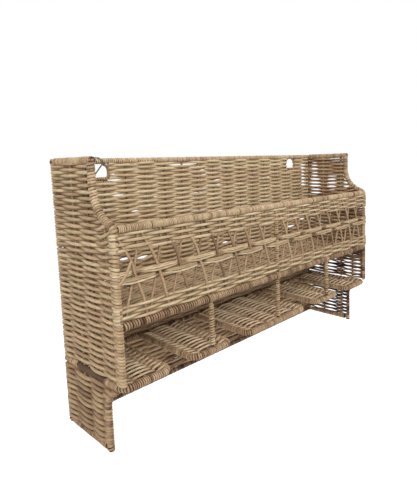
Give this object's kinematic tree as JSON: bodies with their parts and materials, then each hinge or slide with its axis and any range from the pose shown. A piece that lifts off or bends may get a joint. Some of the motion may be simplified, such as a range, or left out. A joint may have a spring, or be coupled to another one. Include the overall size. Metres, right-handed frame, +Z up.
{
  "type": "wicker wall shelf",
  "caption": "Woven cane wall shelf: an open trough with a trellis front above a slatted shelf whose slots hold stemmed glasses.",
  "frame": {"origin": "on the wall plane, in the middle of the width, level with the underside of the top rail, where it hangs", "axes": "+X to the right of someone who faces the wall, +Y into the wall, +Z up"},
  "size_m": [0.6, 0.1519, 0.3719],
  "materials": {
    "woven_cane": "matt natural cane, unvarnished",
    "trellis_cane": "satin pale cane",
    "bound_rod": "rod bound with flat satin cane",
    "rim_cane": "rod bound with pale satin cane",
    "steel_wire": "dull drawn wire"
  },
  "bodies": {
    "root": {"back_top_rail": "bound_rod", "back_foot_rail": "bound_rod", "back_weave": "woven_cane", "back_top_weave_left": "woven_cane", "back_top_weave_right": "woven_cane", "hole_sill_left": "bound_rod", "hole_sill_right": "bound_rod", "side_top_rail_left": "bound_rod", "side_top_rail_right": "bound_rod", "neck_rod_left": "bound_rod", "neck_rod_right": "bound_rod", "front_corner_post_left": "bound_rod", "front_corner_post_right": "bound_rod", "back_post_upper_left": "bound_rod", "back_post_upper_right": "bound_rod", "back_post_lower_left": "bound_rod", "back_post_lower_right": "bound_rod", "leg_rod_left": "bound_rod", "leg_rod_right": "bound_rod", "leg_foot_rail_left": "bound_rod", "leg_foot_rail_right": "bound_rod", "side_weave_left": "woven_cane", "side_weave_right": "woven_cane", "leg_weave_left": "woven_cane", "leg_weave_right": "woven_cane", "trough_rim_rail": "rim_cane", "trough_front_rail": "bound_rod", "trough_ledge_rail": "bound_rod", "trough_floor_weave": "woven_cane", "trough_middle_post": "bound_rod", "front_trellis_left": "trellis_cane", "front_trellis_right": "trellis_cane", "slat_left_rod": "bound_rod", "slat_left_weave": "woven_cane", "slat_middle_left_rod": "bound_rod", "slat_middle_left_weave": "woven_cane", "slat_centre_rod": "bound_rod", "slat_centre_weave": "woven_cane", "slat_middle_right_rod": "bound_rod", "slat_middle_right_weave": "woven_cane", "slat_right_rod": "bound_rod", "slat_right_weave": "woven_cane", "shelf_ledge_rail": "bound_rod", "shelf_post_middle_left": "bound_rod", "shelf_post_centre": "bound_rod", "shelf_post_middle_right": "bound_rod", "nail_neck_left": "steel_wire", "nail_neck_right": "steel_wire", "nail_rim_left": "steel_wire", "nail_rim_right": "steel_wire", "nail_trough_left": "steel_wire", "nail_trough_right": "steel_wire", "nail_leg_left": "steel_wire", "nail_leg_right": "steel_wire", "nail_top_left": "steel_wire", "nail_top_right": "steel_wire", "nail_post_middle_left": "steel_wire", "nail_post_centre": "steel_wire", "nail_post_middle_right": "steel_wire", "hanger_wire": "steel_wire"}
  },
  "joints": []
}
